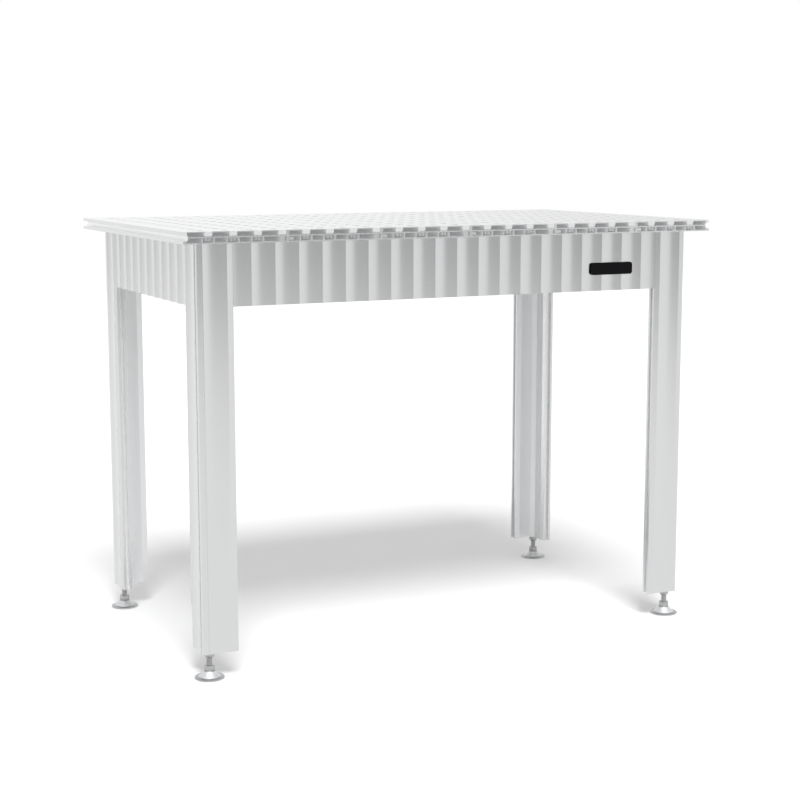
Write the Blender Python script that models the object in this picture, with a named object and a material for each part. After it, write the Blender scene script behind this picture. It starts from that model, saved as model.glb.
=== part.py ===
"""Workbench with an aluminium plank top, fluted apron and legs, and four levelling feet.

Units are metres, +Z is up, and the front faces -Y. The origin is on the floor, in the
middle of the bench. Every profile is drawn once as a section and then extruded.
"""

import math

import bmesh
import bpy
from mathutils import Matrix

for thing in list(bpy.data.objects):
    bpy.data.objects.remove(thing, do_unlink=True)

# Overall sizes
TOP_WIDTH = 1.200
TOP_DEPTH = 0.700
BENCH_HEIGHT = 0.890
PLANKS = 6
RIBS_PER_PLANK = 4
PITCH = TOP_WIDTH / (PLANKS * RIBS_PER_PLANK)

# Clearances between neighbours
SEAT_GAP = 0.0003
THREAD_GAP = 0.0003

# Section of a top plank, from its upper face down
UPPER_SKIN = 0.0022
RIB_HEIGHT = 0.0082
MID_WEB = 0.0018
CELL_HEIGHT = 0.0093
LOWER_SKIN = 0.0020
PLANK_THICKNESS = UPPER_SKIN + RIB_HEIGHT + MID_WEB + CELL_HEIGHT + LOWER_SKIN
PLANK_WALL = 0.0020
RIB_TOP = 0.0190
RIB_FOOT = 0.0125
SEAM_SHIFT = 0.0125
SEAM_COLUMN = 0.0100
PORT_CELL = 0.0220
PORT_GAP = 0.0050
PORT_LEG = 0.0016
PORT_LENGTH = 0.0062
TONGUE_NECK = 0.0030
TONGUE_HEAD = 0.0056
TONGUE_HEAD_LENGTH = 0.0085
TONGUE_CLEARANCE = 0.0004

# Open groove along the two side edges of the top
EDGE_MOUTH = 0.0115
EDGE_DEPTH = 0.0090
EDGE_CORNER = 0.0030

# Blind clamping holes in the ribs, in rows a pitch apart
HOLE_DIAMETER = 0.0160
HOLE_DEPTH = 0.0050
HOLE_SIDES = 6

# Fluted frame profiles
FRAME_INSET = 0.0375
FRAME_THICKNESS = 0.0235
FLUTE_DEPTH = 0.0030
FLUTE_STEPS = 4
LEAST_FACET = 0.0020
APRON_HEIGHT = 0.1245
LEG_ARM = 0.0750
LEG_CLEARANCE = 0.0530
LEG_CORNER_RADIUS = 0.0010
LEG_CORNER_STEP = 0.0007
KEY_MOUTH = 0.0080
KEY_DEPTH = 0.0080
KEY_SHORTENING = 0.0050
PROFILE_WALL = 0.0025
CORNER_BLOCK = 0.0340
INNER_CHAMFER = 0.0060

# Levelling feet, centred on the thread in each leg's corner
FOOT_INSET = 0.01875
THREAD_DIAMETER = 0.0120
ROUND_SIDES = 12
BASE_DIAMETER = 0.0600
BASE_THICKNESS = 0.0030
BASE_CHAMFER = 0.0010
BELL_SKIRT = 0.0220
BELL_NECK = 0.0100
BELL_HEIGHT = 0.0135
BELL_LIP = 0.0012
BELL_SHARES = ((0.0, 1.0), (0.4, 0.55), (0.75, 0.15), (1.0, 0.0))
SOCKET_DIAMETER = 0.0120
SOCKET_DEPTH = 0.0085
COLLAR_FLATS = 0.0190
COLLAR_HEIGHT = 0.0095
SPINDLE_REACH = 0.0600
THREAD_CHAMFER = 0.0010
NUT_HEIGHT = 0.0100
NUT_CONE = 0.0045
NUT_LAND = 0.0012

# Angle brackets and screws that hold the top to the apron
BRACKET_LENGTH = 0.0600
BRACKET_FLANGE = 0.0350
BRACKET_THICKNESS = 0.0040
BRACKET_PLACE_PITCHES = 5.5
SCREW_DIAMETER = 0.0060
SCREW_LENGTH = 0.0120
SCREW_SIDES = 6
SCREW_HEAD = 0.0110
SCREW_HEAD_HEIGHT = 0.0035
SCREW_GAP = 0.0003

# Places worked out from the sizes above
HALF_WIDTH = TOP_WIDTH / 2 - FRAME_INSET
HALF_DEPTH = TOP_DEPTH / 2 - FRAME_INSET
UNDERSIDE = BENCH_HEIGHT - PLANK_THICKNESS
FRAME_TOP = UNDERSIDE - SEAT_GAP
APRON_BOTTOM = FRAME_TOP - APRON_HEIGHT
CELL_TOP = -(UPPER_SKIN + RIB_HEIGHT + MID_WEB)
CELL_FLOOR = CELL_TOP - CELL_HEIGHT
# Colour, roughness and metallic value of each finish
FINISHES = {
    "top": ((0.80, 0.81, 0.82), 0.38, 0.9),
    "frame": ((0.78, 0.79, 0.80), 0.42, 0.9),
    "key": ((0.62, 0.63, 0.64), 0.50, 0.9),
    "steel": ((0.55, 0.56, 0.57), 0.35, 1.0),
    "chrome": ((0.78, 0.79, 0.80), 0.15, 1.0),
    "base": ((0.36, 0.37, 0.38), 0.55, 0.6),
}
SHARP_ANGLE = math.radians(35)

# Turns a section's extrusion to run along x, its width along y and its height down
LYING = Matrix(((0, 0, 1, 0), (1, 0, 0, 0), (0, -1, 0, 0), (0, 0, 0, 1)))

CORNERS = (("front_left", -1, -1), ("front_right", 1, -1), ("back_left", -1, 1), ("back_right", 1, 1))


def material(name, colour, roughness, metallic):
    """A Principled material in one finish."""
    made = bpy.data.materials.new(name)
    made.use_nodes = True
    shader = made.node_tree.nodes["Principled BSDF"]
    shader.inputs["Base Color"].default_value = (*colour, 1.0)
    shader.inputs["Roughness"].default_value = roughness
    shader.inputs["Metallic"].default_value = metallic
    return made


def add_object(name, mesh_data, finish):
    """Links a bmesh to the scene as one named object."""
    mesh = bpy.data.meshes.new(name)
    mesh_data.to_mesh(mesh)
    mesh_data.free()
    made = bpy.data.objects.new(name, mesh)
    bpy.context.scene.collection.objects.link(made)
    made.data.materials.append(material(name, *FINISHES[finish]))
    return made


def extruded(name, loops, length, finish):
    """A profile: loops[0] is the outline, the others are its chambers."""
    section = bmesh.new()
    for loop in loops:
        corners = [section.verts.new((x, y, 0)) for x, y in loop]
        for first, second in zip(corners, corners[1:] + corners[:1]):
            section.edges.new((first, second))
    bmesh.ops.triangle_fill(section, edges=section.edges[:], use_beauty=True)
    pushed = bmesh.ops.extrude_face_region(section, geom=section.faces[:])
    raised = [part for part in pushed["geom"] if isinstance(part, bmesh.types.BMVert)]
    bmesh.ops.translate(section, verts=raised, vec=(0, 0, length))
    bmesh.ops.recalc_face_normals(section, faces=section.faces[:])
    return add_object(name, section, finish)


def ring_radius(shape, size, angle):
    """Distance from the axis to a round or hexagonal outline at one angle."""
    if shape == "round":
        return size / 2
    flat = math.pi / 3
    return size / 2 / math.cos((angle + flat / 2) % flat - flat / 2)


def turned(name, stations, finish, sides=ROUND_SIDES, closed=False):
    """Rings bridged in turn, each a (shape, size across, height) station."""
    body = bmesh.new()
    rings = []
    for shape, size, height in stations:
        corners = []
        for step in range(sides):
            angle = 2 * math.pi * step / sides
            reach = ring_radius(shape, size, angle)
            corners.append(body.verts.new((reach * math.sin(angle), reach * math.cos(angle), height)))
        rings.append(corners)
    pairs = list(zip(rings, rings[1:]))
    if closed:
        pairs.append((rings[-1], rings[0]))
    for lower, upper in pairs:
        for step in range(sides):
            after = (step + 1) % sides
            body.faces.new((lower[step], lower[after], upper[after], upper[step]))
    if not closed:
        body.faces.new(rings[0])
        body.faces.new(rings[-1])
    bmesh.ops.recalc_face_normals(body, faces=body.faces[:])
    made = add_object(name, body, finish)
    made.data.shade_smooth()
    made.data.set_sharp_from_angle(angle=SHARP_ANGLE)
    return made


def cutter(name, stands, diameter, depth, sides):
    """Cylinders in one hidden mesh, each with its middle and axis at a matrix."""
    body = bmesh.new()
    for stand in stands:
        made = bmesh.ops.create_cone(
            body, cap_ends=True, segments=sides, radius1=diameter / 2, radius2=diameter / 2, depth=depth
        )
        bmesh.ops.transform(body, matrix=stand, verts=made["verts"])
    mesh = bpy.data.meshes.new(name)
    body.to_mesh(mesh)
    body.free()
    made = bpy.data.objects.new(name, mesh)
    bpy.context.scene.collection.objects.link(made)
    made.hide_render = True
    made.display_type = "WIRE"
    return made


def cut(target, tool):
    """Takes a cutter's shape out of a piece."""
    boolean = target.modifiers.new(tool.name, "BOOLEAN")
    boolean.operation = "DIFFERENCE"
    boolean.solver = "EXACT"
    boolean.object = tool


# Fluting: shallow scallops between cusps that stand on the pitch grid


def flute_depth(place):
    """How far a face is scalloped in at one distance from the middle of the bench."""
    share = abs(place) / PITCH % 1
    return FLUTE_DEPTH * (1 - (2 * share - 1) ** 2)


def flute_places(start, end):
    """The ends of a fluted face, and the facets' corners between them."""
    step = PITCH / FLUTE_STEPS
    first = math.floor(start / step)
    last = math.ceil(end / step)
    inner = [index * step for index in range(first, last + 1)]
    inner = [place for place in inner if start + LEAST_FACET < place < end - LEAST_FACET]
    return [start, *inner, end]


def groove_loop(reach, middle, mouth, depth):
    """An open groove's corners in an end face at reach, from low to high."""
    return [
        (reach, middle - mouth / 2),
        (reach - depth, middle - mouth / 2),
        (reach - depth, middle + mouth / 2),
        (reach, middle + mouth / 2),
    ]


# Tabletop planks, drawn with x across the bench and y up from the upper face


def seam(index):
    """Where two planks meet; the first and last are the edges of the top."""
    place = -TOP_WIDTH / 2 + index * TOP_WIDTH / PLANKS
    return place if index in (0, PLANKS) else place + SEAM_SHIFT


def edge_groove(edge, inward):
    """The open groove in a side edge, from its lower lip to its upper one."""
    middle = -PLANK_THICKNESS / 2
    back = edge + inward * EDGE_DEPTH
    near = back - inward * EDGE_CORNER
    low = middle - EDGE_MOUTH / 2
    high = middle + EDGE_MOUTH / 2
    return [
        (edge, low),
        (near, low),
        (back, low + EDGE_CORNER),
        (back, high - EDGE_CORNER),
        (near, high),
        (edge, high),
    ]


def tongue(side):
    """The T-shaped tongue on a plank's right side, from low to high."""
    middle = CELL_TOP - CELL_HEIGHT / 2
    neck = side + PLANK_WALL + 2 * TONGUE_CLEARANCE
    tip = neck + TONGUE_HEAD_LENGTH
    return [
        (side, middle - TONGUE_NECK / 2),
        (neck, middle - TONGUE_NECK / 2),
        (neck, middle - TONGUE_HEAD / 2),
        (tip, middle - TONGUE_HEAD / 2),
        (tip, middle + TONGUE_HEAD / 2),
        (neck, middle + TONGUE_HEAD / 2),
        (neck, middle + TONGUE_NECK / 2),
        (side, middle + TONGUE_NECK / 2),
    ]


def socket(side, far):
    """The cell on a plank's left side that takes its neighbour's tongue, from high to low."""
    middle = CELL_TOP - CELL_HEIGHT / 2
    slot = TONGUE_NECK / 2 + TONGUE_CLEARANCE
    wall = side + PLANK_WALL
    return [
        (side, middle + slot),
        (wall, middle + slot),
        (wall, CELL_TOP),
        (far, CELL_TOP),
        (far, CELL_FLOOR),
        (wall, CELL_FLOOR),
        (wall, middle - slot),
        (side, middle - slot),
    ]


def screw_port_cell(rib):
    """The lower cell under a rib, with two legs that form an open screw port."""
    left = rib - PORT_CELL / 2
    right = rib + PORT_CELL / 2
    near = PORT_GAP / 2
    far = near + PORT_LEG
    end = CELL_TOP - PORT_LENGTH
    legs = [
        (rib + far, CELL_TOP),
        (rib + far, end),
        (rib + near, end),
        (rib + near, CELL_TOP),
        (rib - near, CELL_TOP),
        (rib - near, end),
        (rib - far, end),
        (rib - far, CELL_TOP),
    ]
    return [(left, CELL_FLOOR), (right, CELL_FLOOR), (right, CELL_TOP), *legs, (left, CELL_TOP)]


def plank_ribs(index):
    """The ribs of one plank, each on the pitch grid."""
    ribs = [-TOP_WIDTH / 2 + PITCH * count for count in range(1, PLANKS * RIBS_PER_PLANK)]
    return [rib for rib in ribs if seam(index) < rib < seam(index + 1)]


def upper_chambers(left, right, ribs):
    """The chambers between the ribs; each rib is wide at its top and narrow at its foot."""
    bounds = [(left, 0, 0)]
    bounds += [(rib, RIB_TOP / 2, RIB_FOOT / 2) for rib in ribs]
    if right is not None:
        bounds.append((right, 0, 0))
    ceiling = -UPPER_SKIN
    floor = ceiling - RIB_HEIGHT
    loops = []
    for (start, start_top, start_foot), (end, end_top, end_foot) in zip(bounds, bounds[1:]):
        loops.append(
            [
                (start + start_foot, floor),
                (end - end_foot, floor),
                (end - end_top, ceiling),
                (start + start_top, ceiling),
            ]
        )
    return loops


def lower_cell(start, end):
    """A plain cell between the mid web and the lower skin."""
    return [(start, CELL_FLOOR), (end, CELL_FLOOR), (end, CELL_TOP), (start, CELL_TOP)]


def flared(loop, wall, skin, outward):
    """A chamber whose corner at the skin follows the cut corner of the open groove beside it."""
    way = 1 if skin > -PLANK_THICKNESS / 2 else -1
    parallel = PLANK_WALL * (math.sqrt(2) - 1)
    bend = -PLANK_THICKNESS / 2 + way * (EDGE_MOUTH / 2 - EDGE_CORNER + parallel)
    far = wall + outward * EDGE_CORNER
    corner = [(wall, bend), (far, bend + way * EDGE_CORNER), (far, skin)]
    at = loop.index((wall, skin))
    if loop[at - 1][0] != wall:
        corner.reverse()
    return loop[:at] + corner + loop[at + 1 :]


def plank_loops(index):
    """One plank's outline and chambers."""
    first = index == 0
    last = index == PLANKS - 1
    left = seam(index) + (0 if first else SEAT_GAP / 2)
    right = seam(index + 1) - (0 if last else SEAT_GAP / 2)
    ribs = plank_ribs(index)
    port_side = PORT_CELL / 2 + PLANK_WALL
    edge_wall = EDGE_DEPTH + PLANK_WALL

    first_cell = ribs[0] - port_side
    left_shape = edge_groove(left, 1)[::-1] if first else socket(left, first_cell)
    right_shape = edge_groove(right, -1) if last else tongue(right)
    lower_corners = [(left, -PLANK_THICKNESS), (right, -PLANK_THICKNESS)]
    upper_corners = [(right, 0), (left, 0)]
    loops = [lower_corners + right_shape + upper_corners + left_shape]

    # Lower cells between the screw ports; a solid column stands beside the seam
    ports = ribs if last else ribs[:-1]
    cells = [lower_cell(rib + port_side, after - port_side) for rib, after in zip(ports, ports[1:])]
    start = left + (edge_wall if first else PLANK_WALL)
    end = right - edge_wall
    chambers = upper_chambers(start, end if last else None, ribs)
    if first:
        chambers[0] = flared(chambers[0], start, -UPPER_SKIN, -1)
        cells.append(flared(lower_cell(start, first_cell), start, CELL_FLOOR, -1))
    if last:
        chambers[-1] = flared(chambers[-1], end, -UPPER_SKIN, 1)
        cells.append(flared(lower_cell(ribs[-1] + port_side, end), end, CELL_FLOOR, 1))
    else:
        cells.append(lower_cell(ports[-1] + port_side, ribs[-1] - SEAM_COLUMN / 2))
        cells.append(lower_cell(ribs[-1] + SEAM_COLUMN / 2, right - PLANK_WALL))
    return loops + chambers + cells + [screw_port_cell(port) for port in ports]


def clamping_holes(index):
    """A cutter for one plank's blind holes, in rows across its ribs."""
    rows = round(TOP_DEPTH / PITCH)
    lines = [TOP_DEPTH * (row / rows - 1 / 2) for row in range(1, rows)]
    stands = [Matrix.Translation((rib, line, BENCH_HEIGHT)) for rib in plank_ribs(index) for line in lines]
    return cutter(f"clamping_holes_{index + 1}", stands, HOLE_DIAMETER, 2 * HOLE_DEPTH, HOLE_SIDES)


def make_planks():
    """The planks of the top, lying front to back."""
    planks = []
    for index in range(PLANKS):
        plank = extruded(f"top_plank_{index + 1}", plank_loops(index), TOP_DEPTH, "top")
        plank.rotation_euler = (math.pi / 2, 0, 0)
        plank.location = (0, TOP_DEPTH / 2, BENCH_HEIGHT)
        cut(plank, clamping_holes(index))
        planks.append(plank)
    return planks


# Frame profiles, drawn from above


def last_cusp(half_span):
    """Where the flutes end, before the flat strip beside a leg's outer corner."""
    return PITCH * math.floor((half_span - LEG_CORNER_RADIUS - LEAST_FACET) / PITCH)


def leg_arm(half_span):
    """One arm of a leg from its outer face round to its inner one, along +x."""
    cusp = last_cusp(half_span)
    strip = [(LEG_CORNER_STEP + LEG_CORNER_RADIUS, LEG_CORNER_STEP), (half_span - cusp, LEG_CORNER_STEP)]
    outer_places = flute_places(half_span - LEG_ARM, cusp)
    inner_start = FRAME_THICKNESS + INNER_CHAMFER
    inner_places = flute_places(half_span - LEG_ARM, half_span - inner_start)
    outer = [(half_span - place, flute_depth(place)) for place in reversed(outer_places)]
    groove = groove_loop(LEG_ARM, FRAME_THICKNESS / 2, KEY_MOUTH, KEY_DEPTH)
    inner = [(half_span - place, FRAME_THICKNESS - flute_depth(place)) for place in inner_places]
    return strip + outer + groove + inner


def leg_outline():
    """The L of a leg, with its outer corner at the origin and its arms along +x and +y."""
    middle = LEG_CORNER_STEP + LEG_CORNER_RADIUS * (1 - math.sqrt(1 / 2))
    along_y = [(y, x) for x, y in reversed(leg_arm(HALF_DEPTH))]
    return [(middle, middle), *leg_arm(HALF_WIDTH), *along_y]


def leg_chamber():
    """The chamber in one arm of a leg."""
    wall = FLUTE_DEPTH + PROFILE_WALL
    end = LEG_ARM - KEY_DEPTH - PROFILE_WALL
    return [
        (CORNER_BLOCK, wall),
        (end, wall),
        (end, FRAME_THICKNESS - wall),
        (CORNER_BLOCK, FRAME_THICKNESS - wall),
    ]


def thread_bore():
    """The round bore for the foot's spindle in a leg's corner."""
    reach = THREAD_DIAMETER / 2 + THREAD_GAP
    corners = []
    for step in range(ROUND_SIDES):
        angle = 2 * math.pi * step / ROUND_SIDES
        corners.append((FOOT_INSET + reach * math.cos(angle), FOOT_INSET + reach * math.sin(angle)))
    return corners


def make_legs():
    """Four L-shaped legs, each fluted on all its long faces."""
    chamber = leg_chamber()
    loops = [leg_outline(), chamber, [(y, x) for x, y in chamber], thread_bore()]
    for corner, x_side, y_side in CORNERS:
        placed = [
            [(x_side * (HALF_WIDTH - x), y_side * (HALF_DEPTH - y)) for x, y in loop] for loop in loops
        ]
        leg = extruded(f"leg_{corner}", placed, FRAME_TOP - LEG_CLEARANCE, "frame")
        leg.location = (0, 0, LEG_CLEARANCE)


def apron_outline(half_length):
    """A fluted panel with a key groove in each end; its outer face is at y = 0."""
    places = flute_places(-half_length, half_length)
    outer = [(place, flute_depth(place)) for place in places]
    inner = [(place, FRAME_THICKNESS - flute_depth(place)) for place in reversed(places)]
    right = groove_loop(half_length, FRAME_THICKNESS / 2, KEY_MOUTH, KEY_DEPTH)
    left = [(-x, y) for x, y in reversed(right)]
    return outer + right + inner + left


def make_aprons():
    """Four panels that join the legs under the top."""
    half_x = HALF_WIDTH - LEG_ARM - SEAT_GAP
    half_y = HALF_DEPTH - LEG_ARM - SEAT_GAP
    panels = {}
    for side, y_side in (("front", -1), ("back", 1)):
        loop = [(x, y_side * (HALF_DEPTH - y)) for x, y in apron_outline(half_x)]
        panels[side] = extruded(f"apron_{side}", [loop], APRON_HEIGHT, "frame")
    for side, x_side in (("left", -1), ("right", 1)):
        loop = [(x_side * (HALF_WIDTH - y), x) for x, y in apron_outline(half_y)]
        panels[side] = extruded(f"apron_{side}", [loop], APRON_HEIGHT, "frame")
    for panel in panels.values():
        panel.location = (0, 0, APRON_BOTTOM)
    return panels


def make_keys():
    """Flat bars in the facing grooves of the legs and the apron."""
    length = 2 * KEY_DEPTH - SEAT_GAP
    width = KEY_MOUTH - 2 * SEAT_GAP
    height = APRON_HEIGHT - KEY_SHORTENING
    line = FRAME_THICKNESS / 2
    for corner, x_side, y_side in CORNERS:
        for way in ("x", "y"):
            key = bmesh.new()
            bmesh.ops.create_cube(key, size=1)
            size = (length, width, height) if way == "x" else (width, length, height)
            bmesh.ops.scale(key, verts=key.verts[:], vec=size)
            made = add_object(f"joint_key_{corner}_{way}", key, "key")
            along = LEG_ARM + SEAT_GAP / 2
            inset = (along, line) if way == "x" else (line, along)
            made.location = (
                x_side * (HALF_WIDTH - inset[0]),
                y_side * (HALF_DEPTH - inset[1]),
                FRAME_TOP - height / 2,
            )


# Levelling feet


def foot_heights():
    """The heights at which a foot's pieces meet."""
    bell_bottom = BASE_THICKNESS + SEAT_GAP
    bell_top = bell_bottom + BELL_HEIGHT
    collar_bottom = bell_top + SEAT_GAP
    collar_top = collar_bottom + COLLAR_HEIGHT
    nut_top = LEG_CLEARANCE - SEAT_GAP
    return bell_bottom, bell_top, collar_bottom, collar_top, nut_top


def make_foot(corner, x_side, y_side):
    """Base, bell, spindle with its hexagon collar, and lock nut."""
    bell_bottom, bell_top, collar_bottom, collar_top, nut_top = foot_heights()
    chamfer = BASE_CHAMFER
    base = turned(
        f"foot_base_{corner}",
        [
            ("round", BASE_DIAMETER - 2 * chamfer, 0),
            ("round", BASE_DIAMETER, chamfer),
            ("round", BASE_DIAMETER, BASE_THICKNESS - chamfer),
            ("round", BASE_DIAMETER - 2 * chamfer, BASE_THICKNESS),
        ],
        "base",
    )
    profile = [("round", 2 * BELL_SKIRT, bell_bottom)]
    for height_share, width_share in BELL_SHARES:
        width = BELL_NECK + (BELL_SKIRT - BELL_NECK) * width_share
        height = BELL_LIP + (BELL_HEIGHT - BELL_LIP) * height_share
        profile.append(("round", 2 * width, bell_bottom + height))
    socket_wall = ("round", SOCKET_DIAMETER)
    bell = turned(
        f"foot_bell_{corner}",
        profile + [(*socket_wall, bell_top), (*socket_wall, bell_top - SOCKET_DEPTH)],
        "chrome",
    )
    stub = SOCKET_DIAMETER - 2 * SEAT_GAP
    thread_tip = THREAD_DIAMETER - 2 * THREAD_CHAMFER
    tip = LEG_CLEARANCE + SPINDLE_REACH
    spindle = turned(
        f"foot_spindle_{corner}",
        [
            ("round", stub, bell_top - SOCKET_DEPTH + SEAT_GAP),
            ("round", stub, collar_bottom),
            ("hex", COLLAR_FLATS, collar_bottom),
            ("hex", COLLAR_FLATS, collar_top),
            ("round", THREAD_DIAMETER, collar_top),
            ("round", THREAD_DIAMETER, tip - THREAD_CHAMFER),
            ("round", thread_tip, tip),
        ],
        "steel",
    )
    bore = THREAD_DIAMETER + 2 * THREAD_GAP
    nut = turned(
        f"lock_nut_{corner}",
        [
            ("hex", COLLAR_FLATS, nut_top),
            ("hex", COLLAR_FLATS, nut_top - NUT_HEIGHT + NUT_CONE),
            ("round", bore + 2 * NUT_LAND, nut_top - NUT_HEIGHT),
            ("round", bore, nut_top - NUT_HEIGHT),
            ("round", bore, nut_top),
        ],
        "steel",
        closed=True,
    )
    for piece in (base, bell, spindle, nut):
        piece.location = (x_side * (HALF_WIDTH - FOOT_INSET), y_side * (HALF_DEPTH - FOOT_INSET), 0)


# Brackets and screws


def bracket_section():
    """The angle's outline, with its outer corner at the origin."""
    flange = BRACKET_FLANGE
    wall = BRACKET_THICKNESS
    return [(0, 0), (flange, 0), (flange, wall), (wall, wall), (wall, flange), (0, flange)]


def make_screw(name, stand):
    """A headed screw whose shank points along +z of its own matrix."""
    stations = [
        ("round", SCREW_DIAMETER, SCREW_LENGTH),
        ("round", SCREW_DIAMETER, 0),
        ("round", SCREW_HEAD, 0),
        ("round", SCREW_HEAD, -SCREW_HEAD_HEIGHT),
    ]
    screw = turned(name, stations, "steel", sides=SCREW_SIDES)
    screw.matrix_world = stand


def make_bracket(name, place, turn, apron, plank):
    """An angle under the top, with one screw up into the top and one into the apron."""
    bracket = extruded(name, [bracket_section()], BRACKET_LENGTH, "steel")
    bracket.data.transform(Matrix.Translation((0, 0, -BRACKET_LENGTH / 2)))
    bracket.data.transform(LYING)
    bracket.matrix_world = Matrix.Translation(place) @ Matrix.Rotation(turn, 4, "Z")

    seat = BRACKET_THICKNESS + SCREW_GAP
    middle = (BRACKET_FLANGE + BRACKET_THICKNESS) / 2
    up = Matrix.Translation((0, middle, -seat))
    sideways = Matrix.Translation((0, seat, -middle)) @ Matrix.Rotation(math.pi / 2, 4, "X")
    for word, local, held in (("top", up, plank), ("apron", sideways, apron)):
        stand = bracket.matrix_world @ local
        make_screw(f"{name}_screw_{word}", stand)
        bore = SCREW_DIAMETER + 2 * SCREW_GAP
        depth = 2 * (SCREW_LENGTH + SCREW_GAP)
        hole = cutter(f"{name}_hole_{word}", [stand], bore, depth, SCREW_SIDES)
        cut(bracket, hole)
        cut(held, hole)


def make_brackets(planks, aprons):
    """Two angles at the front, two at the back and one at each side."""
    reach = BRACKET_PLACE_PITCHES * PITCH
    level = UNDERSIDE - SEAT_GAP
    line_x = HALF_WIDTH - FRAME_THICKNESS - SEAT_GAP
    line_y = HALF_DEPTH - FRAME_THICKNESS - SEAT_GAP
    screw_x = line_x - (BRACKET_FLANGE + BRACKET_THICKNESS) / 2
    spots = [
        ("front_left", (-reach, -line_y, level), 0, "front", -reach),
        ("front_right", (reach, -line_y, level), 0, "front", reach),
        ("back_left", (-reach, line_y, level), math.pi, "back", -reach),
        ("back_right", (reach, line_y, level), math.pi, "back", reach),
        ("left", (-line_x, 0, level), -math.pi / 2, "left", -screw_x),
        ("right", (line_x, 0, level), math.pi / 2, "right", screw_x),
    ]
    for name, place, turn, side, screw_place in spots:
        index = sum(seam(count) < screw_place for count in range(1, PLANKS))
        make_bracket(f"bracket_{name}", place, turn, aprons[side], planks[index])


def main():
    planks = make_planks()
    make_legs()
    aprons = make_aprons()
    make_keys()
    for corner in CORNERS:
        make_foot(*corner)
    make_brackets(planks, aprons)


main()
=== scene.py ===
import math

import bmesh
import bpy
from mathutils import Matrix, Vector


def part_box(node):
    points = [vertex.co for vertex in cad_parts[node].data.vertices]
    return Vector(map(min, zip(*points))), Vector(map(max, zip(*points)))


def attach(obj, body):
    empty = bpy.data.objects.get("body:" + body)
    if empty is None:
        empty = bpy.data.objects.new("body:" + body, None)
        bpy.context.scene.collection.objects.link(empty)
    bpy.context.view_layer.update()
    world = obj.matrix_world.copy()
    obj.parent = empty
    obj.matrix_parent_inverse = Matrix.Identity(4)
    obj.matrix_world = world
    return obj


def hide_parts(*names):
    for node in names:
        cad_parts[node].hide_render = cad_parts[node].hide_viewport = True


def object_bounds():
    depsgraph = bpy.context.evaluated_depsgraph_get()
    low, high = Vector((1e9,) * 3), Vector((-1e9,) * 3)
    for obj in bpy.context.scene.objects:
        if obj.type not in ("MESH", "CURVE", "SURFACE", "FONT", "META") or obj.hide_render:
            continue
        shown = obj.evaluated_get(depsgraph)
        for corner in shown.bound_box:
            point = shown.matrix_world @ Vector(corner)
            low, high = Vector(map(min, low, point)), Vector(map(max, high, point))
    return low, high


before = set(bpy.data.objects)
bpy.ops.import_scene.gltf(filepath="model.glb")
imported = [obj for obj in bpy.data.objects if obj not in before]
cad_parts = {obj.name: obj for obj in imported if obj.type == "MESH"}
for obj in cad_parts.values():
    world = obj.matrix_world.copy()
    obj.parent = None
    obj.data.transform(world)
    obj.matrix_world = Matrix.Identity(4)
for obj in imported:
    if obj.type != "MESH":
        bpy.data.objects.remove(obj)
cad_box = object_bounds()

# Legs: four L-shaped aluminium extrusions with shallow flutes along every long face.
# Each is sawn to length, blasted and clear anodised, so its faces are satin with faint
# lines from the die along the profile and a brighter, finely scored cut at each end.


class Signal:
    """A socket that carries a number; arithmetic on it adds Math nodes."""

    def __init__(self, finish, socket):
        self.finish = finish
        self.socket = socket

    def maths(self, operation, first, second):
        return self.finish.maths(operation, first, second)

    def __add__(self, other):
        return self.maths("ADD", self, other)

    def __radd__(self, other):
        return self.maths("ADD", other, self)

    def __sub__(self, other):
        return self.maths("SUBTRACT", self, other)

    def __rsub__(self, other):
        return self.maths("SUBTRACT", other, self)

    def __mul__(self, other):
        return self.maths("MULTIPLY", self, other)

    def __rmul__(self, other):
        return self.maths("MULTIPLY", other, self)

    def __gt__(self, other):
        return self.maths("GREATER_THAN", self, other)

    def __abs__(self):
        return self.maths("ABSOLUTE", self, 0.0)


class Finish:
    """The nodes of one finish, or of the studio's surroundings."""

    def __init__(self, tree):
        self.tree = tree

    def node(self, kind, settings=None, inputs=None, output=0):
        made = self.tree.nodes.new(kind)
        for name, value in (settings or {}).items():
            setattr(made, name, value)
        for name, value in (inputs or {}).items():
            if isinstance(value, Signal):
                self.tree.links.new(value.socket, made.inputs[name])
            else:
                made.inputs[name].default_value = value
        return Signal(self, made.outputs[output])

    def maths(self, operation, first, second):
        return self.node("ShaderNodeMath", {"operation": operation}, {0: first, 1: second})

    def place(self):
        return self.node("ShaderNodeTexCoord", output="Object")

    def part(self, vector, axis):
        return self.node("ShaderNodeSeparateXYZ", None, {0: vector}, output=axis)

    def facing(self, axis):
        """How squarely a face looks along an axis, from 0 to 1."""
        return abs(self.part(self.node("ShaderNodeTexCoord", output="Normal"), axis))

    def stretched(self, scale):
        """Object coordinates, scaled so that a pattern runs long where the scale is small."""
        return self.node("ShaderNodeMapping", None, {"Vector": self.place(), "Scale": scale})

    def noise(self, scale, detail=2.0):
        inputs = {"Vector": self.stretched(scale), "Scale": 1.0, "Detail": detail}
        return self.node("ShaderNodeTexNoise", None, inputs)

    def blend(self, share, first, second):
        """A colour between two others, each a colour or a signal."""
        ends = [end if isinstance(end, Signal) else (*end, 1.0) for end in (first, second)]
        inputs = {0: share, 6: ends[0], 7: ends[1]}
        return self.node("ShaderNodeMix", {"data_type": "RGBA"}, inputs, output=2)

    def bump(self, height, strength, distance):
        inputs = {"Height": height, "Strength": strength, "Distance": distance}
        return self.node("ShaderNodeBump", None, inputs)


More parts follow.
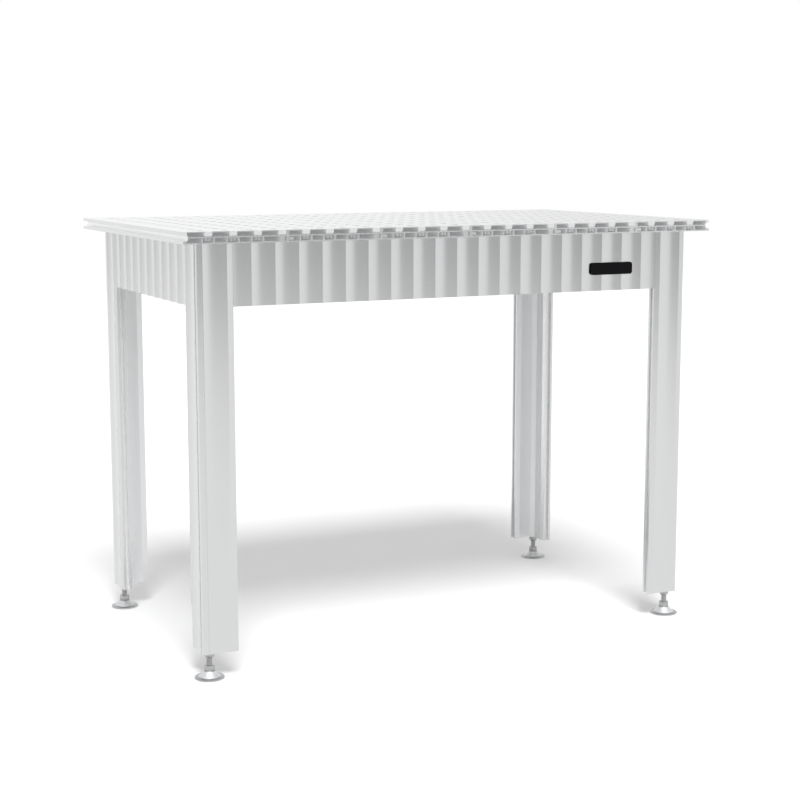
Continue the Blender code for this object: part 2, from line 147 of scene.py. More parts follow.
class Metal(Finish):
    """A metal material with its own shader."""

    def __init__(self, name, colour, roughness, metallic=1.0):
        self.material = bpy.data.materials.new(name)
        self.material.use_nodes = True
        super().__init__(self.material.node_tree)
        self.shader = self.tree.nodes["Principled BSDF"]
        self.shader.inputs["Base Color"].default_value = (*colour, 1.0)
        self.shader.inputs["Roughness"].default_value = roughness
        self.shader.inputs["Metallic"].default_value = metallic

    def feed(self, **signals):
        for name, signal in signals.items():
            self.tree.links.new(signal.socket, self.shader.inputs[name.replace("_", " ")])


# The first colour is a painted highlight for the rib heads on the cut ends of the planks.
RIB_HEAD_HIGHLIGHT = (0.775, 0.778, 0.782)
SATIN_GRAIN = 2600.0
SAW_MARKS = 260.0
SQUARE_ON = 0.9


def streaks(along, across, lengthwise):
    """Scales that draw a pattern out along one axis."""
    return [lengthwise if axis == along else across for axis in "XYZ"]


def anodised(name, along, bright, dull, roughness, metallic=1.0, sawn=None, heads=None):
    """Clear anodised extrusion whose die lines run along one axis, and sawn ends.

    The ends are finely scored all over. Given heads, they are scored only where it gives 1,
    and there take a painted highlight, a brighter colour standing for the light the rib heads
    catch; elsewhere they have the sawn colour.
    """
    finish = Metal(name, bright, roughness, metallic)
    lines = finish.noise(streaks(along, 1400.0, 4.0), detail=3.0)
    drift = finish.noise(streaks(along, 45.0, 1.2))
    satin = finish.noise((SATIN_GRAIN, SATIN_GRAIN, SATIN_GRAIN), detail=1.0)
    cut = finish.facing(along) > SQUARE_ON
    marks = finish.node(
        "ShaderNodeTexWave",
        {"wave_type": "BANDS", "bands_direction": "DIAGONAL"},
        {"Vector": finish.place(), "Scale": SAW_MARKS, "Distortion": 2.5, "Detail": 2.0},
        output="Fac",
    )
    face = finish.blend(0.2 * lines + 0.6 * drift + 0.2 * satin, bright, dull)
    # On plank ends the rib heads get a painted highlight: a brighter colour standing for the
    # light they catch.
    scored_and_highlit = cut * heads(finish) if heads else cut
    end = finish.blend(scored_and_highlit, sawn, RIB_HEAD_HIGHLIGHT) if heads else bright
    finish.feed(
        Base_Color=finish.blend(cut, face, end),
        Roughness=roughness - 0.03 + 0.06 * lines + 0.24 * scored_and_highlit,
        Normal=finish.bump(0.5 * lines + 0.2 * satin + 0.5 * marks * cut, 0.05, 0.00005),
    )
    return finish.material


def dress(names, material):
    """Gives nodes that stay as they are a finish of this scene."""
    for name in names:
        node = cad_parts[name]
        for slot in node.material_slots:
            slot.material = material


def piece(name, mesh_data, material):
    """Links a bmesh as an object that sits at the origin with its place in its mesh."""
    mesh = bpy.data.meshes.new(name)
    mesh_data.to_mesh(mesh)
    mesh_data.free()
    made = bpy.data.objects.new(name, mesh)
    bpy.context.scene.collection.objects.link(made)
    made.data.materials.append(material)
    return made


def smooth(made, degrees=30.0):
    """Rounds the shading but for the edges that turn by more than an angle."""
    body = bmesh.new()
    body.from_mesh(made.data)
    for face in body.faces:
        face.smooth = True
    for edge in body.edges:
        edge.smooth = edge.calc_face_angle(0.0) < math.radians(degrees)
    body.to_mesh(made.data)
    body.free()


def merged_copy(name):
    """A node's shape with its triangles joined up into whole faces."""
    body = bmesh.new()
    body.from_mesh(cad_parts[name].data)
    bmesh.ops.remove_doubles(body, verts=body.verts[:], dist=0.00001)
    bmesh.ops.dissolve_limit(
        body, angle_limit=math.radians(0.3), verts=body.verts[:], edges=body.edges[:]
    )
    return body


FLUTE_PITCH = 0.0500
FLUTE_DEPTH = 0.0030
FLUTE_CUTS = 3
PROFILE_THICKNESS = 0.0235
LEG_ARM = 0.0750
KEY_DEPTH = 0.0080
ON_FLUTE = 0.00003
SHORTEST_FACET = 0.0040
LEVEL_WITHIN = 0.0001
GROOVE_MARGIN = 0.0002
END_MARGIN = 0.0005
HOLLOW_MARGIN = 0.0010
corners = ("front_left", "front_right", "back_left", "back_right")
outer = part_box("leg_back_right")[1]
# The axis a face runs along, the axis it faces, how far out it lies and which way it dips
fluted_faces = (
    (0, 1, outer[1], -1),
    (0, 1, outer[1] - PROFILE_THICKNESS, 1),
    (1, 0, outer[0], -1),
    (1, 0, outer[0] - PROFILE_THICKNESS, 1),
)


def flute_dip(place):
    share = abs(place) / FLUTE_PITCH % 1
    return FLUTE_DEPTH * (1 - (2 * share - 1) ** 2)


def inward(face):
    """Whether a face of the frame looks towards the middle of the bench."""
    side, middle = face.normal, face.center
    return any(side[axis] * math.copysign(1, middle[axis]) < -0.5 for axis in (0, 1))


def in_end_groove(middle):
    """Whether a face is a wall of the key groove in the end of a leg's arm."""
    for along, across in ((0, 1), (1, 0)):
        depth = abs(middle[along]) - (outer[along] - LEG_ARM)
        beside = abs(outer[across] - PROFILE_THICKNESS / 2 - abs(middle[across]))
        within = GROOVE_MARGIN < depth < KEY_DEPTH + GROOVE_MARGIN
        if within and beside < KEY_DEPTH / 2 + GROOVE_MARGIN:
            return True
    return False


def on_arm_end(face):
    """Whether a face closes the end of a leg's arm."""
    return any(
        abs(face.normal[axis]) > SQUARE_ON
        and abs(abs(face.center[axis]) - (outer[axis] - LEG_ARM)) < END_MARGIN
        for axis in (0, 1)
    )


def in_side_hollow(face):
    """Whether a face is the inner wall of a profile that runs front to back."""
    far = abs(face.center.x) > outer[0] - PROFILE_THICKNESS - HOLLOW_MARGIN
    return inward(face) and abs(face.normal.x) > 0.5 and far


def fluted(name, source, materials):
    """A fluted profile on its node's shape, with its scallops made smooth.

    The materials are those of the outside, of the inner faces and, on legs, of the key
    grooves and the inner walls that run front to back. All but the first are lighter copies
    of the outside's finish, painted light that lifts the shade on faces turned in under the
    bench.
    """
    body = merged_copy(source)
    for run, out, level, way in fluted_faces:
        facets = []
        for edge in body.edges:
            first, second = (vert.co for vert in edge.verts)
            on_flute = all(
                abs(abs(point[out]) - level - way * flute_dip(point[run])) < ON_FLUTE
                for point in (first, second)
            )
            level_edge = abs(first.z - second.z) < LEVEL_WITHIN
            if on_flute and level_edge and edge.calc_length() > SHORTEST_FACET:
                facets.append(edge)
        split = bmesh.ops.subdivide_edges(
            body, edges=facets, cuts=FLUTE_CUTS, use_grid_fill=True
        )
        for part in split["geom_inner"]:
            if isinstance(part, bmesh.types.BMVert):
                reach = level + way * flute_dip(part.co[run])
                part.co[out] = math.copysign(reach, part.co[out])
    bmesh.ops.recalc_face_normals(body, faces=body.faces[:])
    made = piece(name, body, materials[0])
    for other in materials[1:]:
        made.data.materials.append(other)
    for face in made.data.polygons:
        if on_arm_end(face):
            face.material_index = 0
        elif in_end_groove(face.center):
            face.material_index = 2
        elif in_side_hollow(face):
            face.material_index = len(materials) - 1
        else:
            face.material_index = int(inward(face))
    smooth(made, 15.0)
    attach(made, "frame")
    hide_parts(source)


upright_metal = anodised(
    "anodised_upright", "Z", (0.635, 0.639, 0.643), (0.60, 0.604, 0.608), 0.23
)
# Painted light: the inner faces get a lighter, less metallic copy of the same finish, which
# lifts their shade under the bench.
lightened_inner_metal = anodised(
    "anodised_inner_face_painted_light", "Z", (0.735, 0.74, 0.745), (0.695, 0.70, 0.705), 0.33, metallic=0.8
)
# Painted light: the key groove walls get a still lighter copy of the finish, which lifts the
# shade in the grooves.
lightened_groove_metal = anodised(
    "anodised_key_groove_painted_light", "Z", (0.86, 0.864, 0.868), (0.82, 0.824, 0.828), 0.38, metallic=0.6
)
# Painted light: the inner walls that run front to back get a lighter copy of the finish, which
# lifts their shade between the arms of a leg.
lightened_hollow_metal = anodised(
    "anodised_leg_hollow_painted_light", "Z", (0.87, 0.874, 0.878), (0.83, 0.834, 0.838), 0.30
)
leg_metals = (upright_metal, lightened_inner_metal, lightened_groove_metal, lightened_hollow_metal)
for corner in corners:
    fluted(f"fluted_leg_{corner}", f"leg_{corner}", leg_metals)

# Aprons: four fluted aluminium panels of the same extrusion family as the legs, standing
# on edge under the top. They are cut to fit between the legs and anodised the same way.

apron_metal = anodised("anodised_apron", "Z", (0.626, 0.63, 0.634), (0.591, 0.595, 0.599), 0.23)
for side in ("front", "back", "left", "right"):
    fluted(f"fluted_apron_{side}", f"apron_{side}", (apron_metal, lightened_inner_metal))

# Joint keys: flat aluminium bars pushed down into the facing grooves of a leg and an
# apron. They are cut from mill-finish stock and keep its rolled, slightly darker skin.

key_metal = anodised("mill_finish_bar", "Z", (0.58, 0.585, 0.59), (0.47, 0.475, 0.48), 0.38)
dress([f"joint_key_{corner}_{way}" for corner in corners for way in "xy"], key_metal)

# Top planks: six hollow aluminium extrusions that lie front to back and hook into each
# other. Their upper faces are planed and brushed along the plank before anodising, and a
# row of round holes is milled into every rib.

HOLE_RADIUS = 0.0081
HOLE_RIM = 0.0004
HOLE_FILLET = 0.0005
HOLE_DEPTH = 0.00505
HOLE_PITCH = 0.0500
ROWS = 13
COLUMNS = 23
HOOK_REACH = 0.0040
SKIN = 0.0022
LOWER_SKIN = 0.0020
INSIDE = 0.0001


def remove_at_once(made):
    mesh = made.data
    bpy.data.objects.remove(made, do_unlink=True)
    bpy.data.meshes.remove(mesh)


def settle(made):
    """Bakes a piece's modifiers into its mesh."""
    graph = bpy.context.evaluated_depsgraph_get()
    finished = bpy.data.meshes.new_from_object(made.evaluated_get(graph))
    old = made.data
    made.modifiers.clear()
    made.data = finished
    bpy.data.meshes.remove(old)
    finished.name = made.name


def machined(made, tool, operation):
    """Cuts a piece with a tool that is then taken away and leaves its own finish."""
    boolean = made.modifiers.new("cut", "BOOLEAN")
    boolean.operation = operation
    boolean.solver = "EXACT"
    boolean.material_mode = "TRANSFER"
    boolean.object = tool
    settle(made)
    remove_at_once(tool)


def lathe(profile, axis_place, steps=48):
    """Turns (radius, height) points about a vertical axis into a closed body."""
    body = bmesh.new()
    centre = Vector(axis_place)
    points = [body.verts.new(centre + Vector((radius, 0, height))) for radius, height in profile]
    for first, second in zip(points, points[1:]):
        body.edges.new((first, second))
    bmesh.ops.spin(
        body,
        geom=body.verts[:] + body.edges[:],
        cent=centre,
        axis=(0, 0, 1),
        angle=math.tau,
        steps=steps,
        use_merge=True,
    )
    bmesh.ops.remove_doubles(body, verts=body.verts[:], dist=0.000001)
    bmesh.ops.recalc_face_normals(body, faces=body.faces[:])
    return body


RIB_HALF = 0.0078
RIB_LOW = 0.8815


def rib_head_highlight_mask(finish):
    """1 on the solid heads of the ribs that stand a pitch apart in a plank's section, where the
    cut end takes a painted highlight.
    """
    place = finish.place()
    across, high = finish.part(place, "X"), finish.part(place, "Z")
    beside = finish.maths("PINGPONG", across, HOLE_PITCH / 2)
    return (RIB_HALF - beside > 0.0) * (high > RIB_LOW)


brushed_metal = anodised(
    "anodised_plank",
    "Y",
    (0.70, 0.704, 0.708),
    (0.66, 0.664, 0.668),
    0.27,
    sawn=(0.65, 0.653, 0.657),
    heads=rib_head_highlight_mask,
)
# The hole walls: partly the brighter milled finish, partly painted light that lifts the shade
# inside the holes.
milled_and_lightened_hole_metal = anodised(
    "milled_hole_painted_light", "Z", (0.80, 0.803, 0.807), (0.76, 0.763, 0.767), 0.30
)
# Chamber walls and the edge groove: a lighter, less metallic copy of the plank finish with a
# faint white glow, painted light that lifts the shade inside the hollows.
glowing_chamber_metal = Metal("extruded_chamber_painted_glow", (0.84, 0.844, 0.848), 0.38, metallic=0.6)
glowing_chamber_metal.feed(Roughness=0.34 + 0.10 * glowing_chamber_metal.noise((1400.0, 4.0, 1400.0)))
glowing_chamber_metal.shader.inputs["Emission Color"].default_value = (1.0, 1.0, 1.0, 1.0)
glowing_chamber_metal.shader.inputs["Emission Strength"].default_value = 0.062
top_height = cad_box[1][2]
top_edge = cad_box[1][0]
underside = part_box("top_plank_1")[0][2]
front_end = cad_box[0][1]


def in_chamber(middle):
    """Whether a face lies inside a plank or in the groove along its edge."""
    deep = underside + LOWER_SKIN - INSIDE < middle.z < top_height - SKIN + INSIDE
    return deep and abs(middle.x) < top_edge - INSIDE and abs(middle.y) < -front_end - INSIDE


for index in range(1, 7):
    low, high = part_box(f"top_plank_{index}")
    plank = piece(f"drilled_plank_{index}", merged_copy(f"top_plank_{index}"), brushed_metal)
    plank.data.materials.append(milled_and_lightened_hole_metal)
    plank.data.materials.append(glowing_chamber_metal.material)
    for face in plank.data.polygons:
        face.material_index = 2 if in_chamber(face.center) else 0

    drill = bmesh.new()
    for column in range(1, COLUMNS + 1):
        across = cad_box[0][0] + column * HOLE_PITCH
        if not low[0] + HOLE_RADIUS < across < high[0] - HOLE_RADIUS - HOOK_REACH:
            continue
        for row in range(ROWS):
            along = (row - (ROWS - 1) / 2) * HOLE_PITCH
            profile = [
                (0.0, -HOLE_DEPTH),
                (HOLE_RADIUS - HOLE_FILLET, -HOLE_DEPTH),
                (HOLE_RADIUS, -HOLE_DEPTH + HOLE_FILLET),
                (HOLE_RADIUS, -HOLE_RIM),
                (HOLE_RADIUS + 2 * HOLE_RIM, HOLE_RIM),
                (0.0, HOLE_RIM),
            ]
            tool = lathe(profile, (across, along, top_height), steps=24)
            spare = bpy.data.meshes.new("spare")
            tool.to_mesh(spare)
            tool.free()
            drill.from_mesh(spare)
            bpy.data.meshes.remove(spare)
    tools = piece(f"drill_{index}", drill, milled_and_lightened_hole_metal)
    machined(plank, tools, "DIFFERENCE")
    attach(plank, "frame")
    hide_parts(f"top_plank_{index}")

# Brackets: six steel angles under the top, bent from flat bar and zinc plated, which
# leaves a dull, slightly mottled grey. Their screws have button heads.


def plated(name, bright, dull, roughness):
    """Zinc plating: a fine crystal mottle with a little unevenness in its shine."""
    finish = Metal(name, bright, roughness)
    crystal = finish.node(
        "ShaderNodeTexVoronoi",
        {"feature": "F1"},
        {"Vector": finish.place(), "Scale": 900.0, "Randomness": 1.0},
        output="Distance",
    )
    cloud = finish.noise((160.0, 160.0, 160.0), detail=4.0)
    finish.feed(
        Base_Color=finish.blend(0.5 * crystal + 0.6 * cloud, bright, dull),
        Roughness=roughness - 0.06 + 0.16 * cloud,
        Normal=finish.bump(crystal + cloud, 0.10, 0.00006),
    )
    return finish.material


plated_steel = plated("zinc_plated_steel", (0.56, 0.565, 0.57), (0.43, 0.435, 0.445), 0.34)
sides = ("front_left", "front_right", "back_left", "back_right", "left", "right")
dress([f"bracket_{side}" for side in sides], plated_steel)

SCREW_HEAD_RADIUS = 0.00475
SCREW_HEAD_HEIGHT = 0.0035
SCREW_SHANK_RADIUS = 0.0026
SCREW_LENGTH = 0.0120
HEAD_EDGE = 0.0006
DOME_STEPS = 6
TIP_CHAMFER = 0.0005
SOCKET_FLATS = 0.0030
SOCKET_DEPTH = 0.0020
outward_of = {"left": (-1, 0, 0), "right": (1, 0, 0), "front": (0, -1, 0), "back": (0, 1, 0)}


def hexagon_bar(name, flats, centre, low, high, material):
    """A hexagon prism to cut flats on a turned piece or a socket in a head."""
    bar = bmesh.new()
    radius = flats / 2 / math.cos(math.pi / 6)
    bmesh.ops.create_cone(
        bar, cap_ends=True, segments=6, radius1=radius, radius2=radius, depth=high - low
    )
    bmesh.ops.rotate(bar, verts=bar.verts[:], matrix=Matrix.Rotation(math.pi / 6, 3, "Z"))
    bmesh.ops.translate(bar, verts=bar.verts[:], vec=(centre[0], centre[1], (low + high) / 2))
    return piece(name, bar, material)


def button_screw(name, source, outward):
    """A button head screw whose shank points outward from its head."""
    dome = []
    for step in range(DOME_STEPS + 1):
        turn = step / DOME_STEPS * math.pi / 2
        reach = 0.5 + 0.5 * math.sin(turn)
        depth = -HEAD_EDGE - (SCREW_HEAD_HEIGHT - HEAD_EDGE) * math.cos(turn)
        dome.append((SCREW_HEAD_RADIUS * reach, depth))
    profile = [
        (0.0, -SCREW_HEAD_HEIGHT),
        *dome,
        (SCREW_HEAD_RADIUS, 0.0),
        (SCREW_SHANK_RADIUS, 0.0),
        (SCREW_SHANK_RADIUS, SCREW_LENGTH - TIP_CHAMFER),
        (SCREW_SHANK_RADIUS - TIP_CHAMFER, SCREW_LENGTH),
        (0.0, SCREW_LENGTH),
    ]
    screw = piece(name, lathe(profile, (0, 0, 0), steps=32), plated_steel)
    socket_floor = SOCKET_DEPTH - SCREW_HEAD_HEIGHT
    bit_start = -2 * SCREW_HEAD_HEIGHT
    bit = hexagon_bar("hexagon_bit", SOCKET_FLATS, (0, 0), bit_start, socket_floor, plated_steel)
    machined(screw, bit, "DIFFERENCE")
    smooth(screw)
    low, high = (Vector(end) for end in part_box(source))
    tip = Vector(high if max(outward) > 0 else low)
    seat = (low + high) / 2
    for axis in range(3):
        if outward[axis]:
            seat[axis] = tip[axis] - SCREW_LENGTH * outward[axis]
    turn = Vector((0, 0, 1)).rotation_difference(Vector(outward)).to_matrix().to_4x4()
    screw.data.transform(Matrix.Translation(seat) @ turn)
    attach(screw, "frame")
    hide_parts(source)


for side in sides:
    outward = outward_of[side.split("_")[0]]
    button_screw(f"button_screw_{side}_top", f"bracket_{side}_screw_top", (0, 0, 1))
    button_screw(f"button_screw_{side}_apron", f"bracket_{side}_screw_apron", outward)

# Name plate: a thin black anodised aluminium plate with rounded corners, bonded to the
# front apron near its right end. It is bare.

BADGE_LEFT = 0.3225
BADGE_RIGHT = 0.4273
BADGE_LOW = 0.776
BADGE_HIGH = 0.802
BADGE_THICKNESS = 0.0012
BADGE_CORNER = 0.0060
BADGE_EDGE = 0.0003

black_plate = Metal("black_anodised_plate", (0.003, 0.003, 0.0035), 0.42, metallic=0.0)
black_plate.shader.inputs["Specular IOR Level"].default_value = 0.07
plate_grain = black_plate.noise((30.0, 1800.0, 1800.0), detail=2.0)
black_plate.feed(
    Base_Color=black_plate.blend(plate_grain, (0.002, 0.002, 0.0025), (0.005, 0.005, 0.006)),
    Roughness=0.40 + 0.12 * plate_grain,
    Normal=black_plate.bump(plate_grain, 0.08, 0.00004),
)

front_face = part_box("apron_front")[0][1]
badge = bmesh.new()
bmesh.ops.create_cube(badge, size=1.0)
bmesh.ops.scale(
    badge,
    verts=badge.verts[:],
    vec=(BADGE_RIGHT - BADGE_LEFT, BADGE_THICKNESS, BADGE_HIGH - BADGE_LOW),
)
bmesh.ops.translate(
    badge,
    verts=badge.verts[:],
    vec=(
        (BADGE_LEFT + BADGE_RIGHT) / 2,
        front_face - BADGE_THICKNESS / 2,
        (BADGE_LOW + BADGE_HIGH) / 2,
    ),
)
corner_edges = [
    edge
    for edge in badge.edges
    if abs((edge.verts[0].co - edge.verts[1].co).y) > BADGE_THICKNESS / 2
]
bmesh.ops.bevel(
    badge,
    geom=corner_edges,
    offset=BADGE_CORNER,
    segments=8,
    affect="EDGES",
    profile=0.5,
    material=-1,
)
rim = [
    edge
    for edge in badge.edges
    if all(vert.co.y < front_face - BADGE_THICKNESS / 2 for vert in edge.verts)
]
bmesh.ops.bevel(
    badge, geom=rim, offset=BADGE_EDGE, segments=2, affect="EDGES", profile=0.5, material=-1
)
badge_plate = piece("name_plate", badge, black_plate.material)
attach(badge_plate, "frame")

# Lock nuts: hexagon steel nuts under the legs, each with its lower half turned to a cone
# that runs down to the thread. Turned from hexagon bar and zinc plated.

FOOT_X = 0.54375
FOOT_Y = 0.29375
NUT_TOP = 0.0527
NUT_HEIGHT = 0.0100
NUT_CONE = 0.0045
NUT_LAND = 0.0012
NUT_CHAMFER = 0.0012
NUT_CHAMFER_REACH = 0.0016
HEX_FLATS = 0.0190
BORE_RADIUS = 0.0063
BORE_CHAMFER = 0.0004
STOCK_SPARE = 0.0010

foot_steel = plated("zinc_plated_foot", (0.48, 0.484, 0.49), (0.39, 0.394, 0.40), 0.34)
rod_steel = plated("rolled_thread_steel", (0.56, 0.565, 0.57), (0.45, 0.455, 0.46), 0.34)
foot_places = {
    "front_left": (-FOOT_X, -FOOT_Y, 0.0),
    "front_right": (FOOT_X, -FOOT_Y, 0.0),
    "back_left": (-FOOT_X, FOOT_Y, 0.0),
    "back_right": (FOOT_X, FOOT_Y, 0.0),
}
corner_radius = HEX_FLATS / 2 / math.cos(math.pi / 6)
for corner, place in foot_places.items():
    nut_low = NUT_TOP - NUT_HEIGHT
    profile = [
        (BORE_RADIUS, NUT_TOP),
        (BORE_RADIUS, nut_low + BORE_CHAMFER),
        (BORE_RADIUS + BORE_CHAMFER, nut_low),
        (BORE_RADIUS + NUT_LAND, nut_low),
        (corner_radius, nut_low + NUT_CONE),
        (corner_radius, NUT_TOP - NUT_CHAMFER),
        (corner_radius - NUT_CHAMFER_REACH, NUT_TOP),
        (BORE_RADIUS, NUT_TOP),
    ]
    nut = piece(f"turned_nut_{corner}", lathe(profile, place), foot_steel)
    start, end = nut_low - STOCK_SPARE, NUT_TOP + STOCK_SPARE
    stock = hexagon_bar("nut_stock", HEX_FLATS, place, start, end, foot_steel)
    machined(nut, stock, "INTERSECT")
    smooth(nut)
    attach(nut, f"lock_nut_{corner}")
    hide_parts(f"lock_nut_{corner}")

# Spindles: threaded steel rods with a hexagon collar near the bottom for the spanner and a
# plain stub below that sits in the bell. The thread is rolled; the whole is zinc plated.

COLLAR_LOW = 0.0171
COLLAR_HIGH = 0.0266
COLLAR_CHAMFER = 0.0005
COLLAR_CHAMFER_REACH = 0.0008
STUB_RADIUS = 0.0057
STUB_LOW = 0.0086
ROD_RADIUS = 0.0060
ROOT_RADIUS = 0.0051
ROD_TIP = 0.1130
ROD_TIP_CHAMFER = 0.0012
ROD_TIP_REACH = 0.0008
THREAD_PITCH = 0.00175
THREAD_STEPS = 16
THREAD_ROOT_DEPTH = 0.0002
CREST_SHARE = 0.14
FLANK_SHARE = 0.92

for corner, place in foot_places.items():
    collar_profile = [
        (0.0, COLLAR_LOW),
        (corner_radius - COLLAR_CHAMFER_REACH, COLLAR_LOW),
        (corner_radius, COLLAR_LOW + COLLAR_CHAMFER),
        (corner_radius, COLLAR_HIGH - COLLAR_CHAMFER),
        (corner_radius - COLLAR_CHAMFER_REACH, COLLAR_HIGH),
        (0.0, COLLAR_HIGH),
    ]
    collar = piece(f"spindle_collar_{corner}", lathe(collar_profile, place), foot_steel)
    start, end = COLLAR_LOW - STOCK_SPARE, COLLAR_HIGH + STOCK_SPARE
    stock = hexagon_bar("collar_stock", HEX_FLATS, place, start, end, foot_steel)
    machined(collar, stock, "INTERSECT")
    smooth(collar)

    rod_profile = [
        (0.0, STUB_LOW),
        (STUB_RADIUS - TIP_CHAMFER, STUB_LOW),
        (STUB_RADIUS, STUB_LOW + TIP_CHAMFER),
        (STUB_RADIUS, COLLAR_LOW + STOCK_SPARE),
        (ROOT_RADIUS, COLLAR_LOW + STOCK_SPARE),
        (ROOT_RADIUS, ROD_TIP - ROD_TIP_CHAMFER),
        (ROOT_RADIUS - ROD_TIP_REACH, ROD_TIP),
        (0.0, ROD_TIP),
    ]
    rod_body = lathe(rod_profile, place, steps=32)
    thread = bmesh.new()
    first_turn = Vector(place) + Vector((0, 0, COLLAR_HIGH + THREAD_PITCH))
    half = THREAD_PITCH / 2
    section = [
        thread.verts.new(first_turn + Vector((radius, 0, height)))
        for radius, height in (
            (ROOT_RADIUS - THREAD_ROOT_DEPTH, -half * FLANK_SHARE),
            (ROD_RADIUS, -half * CREST_SHARE),
            (ROD_RADIUS, half * CREST_SHARE),
            (ROOT_RADIUS - THREAD_ROOT_DEPTH, half * FLANK_SHARE),
        )
    ]
    for first, second in zip(section, section[1:] + section[:1]):
        thread.edges.new((first, second))
    turns = int((ROD_TIP - COLLAR_HIGH - 3 * THREAD_PITCH) / THREAD_PITCH)
    bmesh.ops.spin(
        thread,
        geom=thread.verts[:] + thread.edges[:],
        cent=first_turn,
        axis=(0, 0, 1),
        dvec=(0, 0, THREAD_PITCH / THREAD_STEPS),
        angle=math.tau * turns,
        steps=THREAD_STEPS * turns,
    )
    bmesh.ops.holes_fill(thread, edges=[edge for edge in thread.edges if edge.is_boundary])
    bmesh.ops.recalc_face_normals(thread, faces=thread.faces[:])
    spare = bpy.data.meshes.new("spare")
    thread.to_mesh(spare)
    thread.free()
    rod_body.from_mesh(spare)
    bpy.data.meshes.remove(spare)
    rod = piece(f"threaded_rod_{corner}", rod_body, rod_steel)
    smooth(rod)
    for made in (collar, rod):
        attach(made, f"spindle_{corner}")
        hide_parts(f"foot_spindle_{corner}")

# Bells: satin chromed steel cups that flare out to a skirt. A darker band at the top is painted
# shade for the dark edge of the shoulder, and a lighter band at the foot of the skirt is painted
# light that lifts the shade over the base disc. The spindle's stub swivels in the socket in the
# middle.

BELL_LOW = 0.0033
BELL_HIGH = 0.0168
BELL_SKIRT = 0.0220
BELL_NECK = 0.0100
BELL_LIP = 0.0012
BELL_ROUNDING = 0.0008
BELL_CHAMFER = 0.0004
FLARE_STEPS = 12
STRAIGHT_SHARE = 0.6
SOCKET_RADIUS = 0.0060
SOCKET_LOW = 0.0083
PAINTED_LIGHT_RIM_TOP = BELL_LOW + 0.0014
PAINTED_SHADE_SHOULDER_LOW = BELL_HIGH - 0.0024

chrome = Metal("satin_chrome", (0.78, 0.785, 0.79), 0.62)
smear = chrome.noise((70.0, 70.0, 120.0), detail=3.0)
turning = chrome.noise((60.0, 60.0, 3500.0), detail=1.0)
level = chrome.part(chrome.place(), "Z")
polished = chrome.blend(smear, (0.81, 0.815, 0.82), (0.74, 0.745, 0.75))
# Painted light and shade: the foot of the skirt takes a lighter colour, painted light over the
# shade from the base disc, and the shoulder a dark one, painted shade for its dark edge.
skirt_with_painted_light = chrome.blend(PAINTED_LIGHT_RIM_TOP - level > 0.0, polished, (0.84, 0.844, 0.85))
chrome.feed(
    Base_Color=chrome.blend(level > PAINTED_SHADE_SHOULDER_LOW, skirt_with_painted_light, (0.42, 0.424, 0.43)),
    Roughness=0.58 + 0.08 * smear,
    Normal=chrome.bump(turning, 0.05, 0.00003),
)
for corner, place in foot_places.items():
    flare = []
    for step in range(FLARE_STEPS + 1):
        up = step / FLARE_STEPS
        rounded = 1 - math.sin(up * math.pi / 2)
        width_share = STRAIGHT_SHARE * (1 - up) + (1 - STRAIGHT_SHARE) * rounded
        rise = BELL_HIGH - BELL_ROUNDING - BELL_LOW - BELL_LIP
        radius = BELL_NECK + (BELL_SKIRT - BELL_NECK) * width_share
        flare.append((radius, BELL_LOW + BELL_LIP + rise * up))
    profile = [
        (0.0, BELL_LOW),
        (BELL_SKIRT - BELL_CHAMFER, BELL_LOW),
        (BELL_SKIRT, BELL_LOW + BELL_CHAMFER),
        *flare,
        (BELL_NECK - BELL_ROUNDING, BELL_HIGH),
        (SOCKET_RADIUS + BELL_CHAMFER, BELL_HIGH),
        (SOCKET_RADIUS, BELL_HIGH - BELL_CHAMFER),
        (SOCKET_RADIUS, SOCKET_LOW),
        (0.0, SOCKET_LOW),
    ]
    bell = piece(f"chromed_bell_{corner}", lathe(profile, place, steps=72), chrome.material)
    smooth(bell)
    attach(bell, f"foot_{corner}")
    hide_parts(f"foot_bell_{corner}")

# Base discs: round pressed steel plates under the bells, with a rolled rim and a dull dark
# finish where they rest on the floor.

BASE_RADIUS = 0.0300
BASE_HEIGHT = 0.0030
ROLL = 0.0010
ROLL_CORNER = 0.0003

base_steel = plated("dull_base_steel", (0.54, 0.545, 0.55), (0.45, 0.455, 0.46), 0.40)
for corner, place in foot_places.items():
    profile = [
        (0.0, 0.0),
        (BASE_RADIUS - ROLL, 0.0),
        (BASE_RADIUS - ROLL_CORNER, ROLL_CORNER),
        (BASE_RADIUS, ROLL),
        (BASE_RADIUS, BASE_HEIGHT - ROLL),
        (BASE_RADIUS - ROLL_CORNER, BASE_HEIGHT - ROLL_CORNER),
        (BASE_RADIUS - ROLL, BASE_HEIGHT),
        (0.0, BASE_HEIGHT),
    ]
    base = piece(f"pressed_base_{corner}", lathe(profile, place, steps=72), base_steel)
    smooth(base)
    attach(base, f"foot_{corner}")
    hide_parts(f"foot_base_{corner}")

# Studio floor: a plain matt white sheet under the bench, wide enough to fill the picture and
# to catch the bench's soft shadow.

paper = Metal("white_floor", (0.97, 0.97, 0.97), 0.9, metallic=0.0)
paper.feed(Roughness=0.85 + 0.1 * paper.noise((3.0, 3.0, 3.0)))
ground = bmesh.new()
bmesh.ops.create_grid(ground, x_segments=1, y_segments=1, size=1.0)
bmesh.ops.scale(ground, verts=ground.verts[:], vec=(8.0, 8.0, 1.0))
bmesh.ops.translate(ground, verts=ground.verts[:], vec=(0.5, 0.4, 0.0))
floor = piece("studio_floor", ground, paper.material)

# Studio surroundings: a white room with a darker stretch beyond the front of the floor,
# and a soft lamp high on the front left.

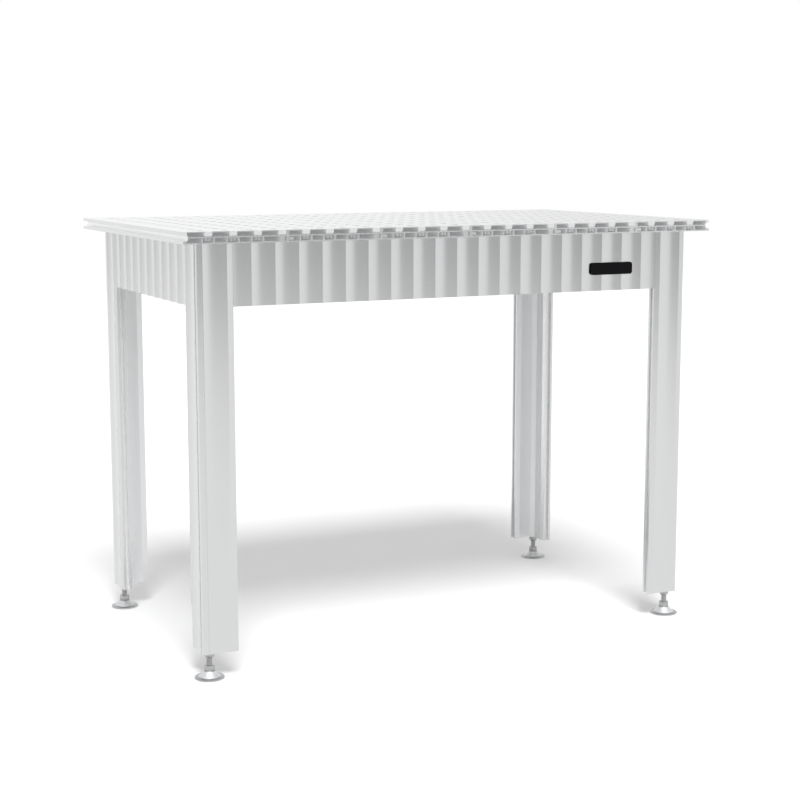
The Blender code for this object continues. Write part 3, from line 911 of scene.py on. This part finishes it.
world = bpy.data.worlds.new("studio")
bpy.context.scene.world = world
world.use_nodes = True
room = Finish(world.node_tree)
direction = room.node("ShaderNodeTexCoord", output="Generated")
east, north, height = (room.part(direction, axis) for axis in "XYZ")


def slope(signal, start, end):
    """Runs from 0 to 1 as a signal goes from start to end."""
    return room.node(
        "ShaderNodeMapRange",
        {"interpolation_type": "SMOOTHSTEP", "clamp": True},
        {"Value": signal, "From Min": start, "From Max": end},
    )


window = math.radians(31.0)
beside = east * math.cos(window) + north * math.sin(window)
front_wall = slope(beside, 0.06, -0.06) * slope(north, 0.2, -0.2) * slope(east, -0.55, -0.25)
left_wall = 0.75 * slope(east, 0.1, -0.9)
dark = room.maths("MAXIMUM", front_wall, left_wall) * slope(abs(height), 0.55, 0.30)
behind = slope(north, 0.1, 0.6) * (0.165 - 0.195 * slope(east, 0.3, 0.62))
ceiling = slope(height, 0.35, 0.8)
wall = 1.04 - 0.58 * dark - 0.60 * ceiling + behind
seen = room.node("ShaderNodeLightPath", output="Is Camera Ray")
strength = wall * (1 - seen) + seen
backdrop = world.node_tree.nodes["Background"]
world.node_tree.links.new(strength.socket, backdrop.inputs["Strength"])
backdrop.inputs["Color"].default_value = (1.0, 1.0, 1.0, 1.0)

lamp_data = bpy.data.lights.new("soft_lamp", "SUN")
lamp_data.energy = 2.1
lamp_data.angle = math.radians(23.0)
lamp = bpy.data.objects.new("soft_lamp", lamp_data)
bpy.context.scene.collection.objects.link(lamp)
lamp.rotation_euler = Vector((-0.155, -0.535, 0.85)).to_track_quat("Z", "Y").to_euler()

# Camera: in front of the left end, a little above the top and looking slightly down, with a
# long lens.

camera_data = bpy.data.cameras.new("camera")
camera_data.sensor_width = 36.0
camera_data.lens = 75.35
camera = bpy.data.objects.new("camera", camera_data)
bpy.context.scene.collection.objects.link(camera)
camera.location = (-1.6019, -3.3625, 1.0481)
camera.rotation_euler = [math.radians(angle) for angle in (90.0 - 8.602, 0.022, -25.757)]
bpy.context.scene.camera = camera
bpy.context.scene.view_settings.view_transform = "Standard"
bpy.context.scene.cycles.max_bounces = 16
bpy.context.scene.cycles.glossy_bounces = 12
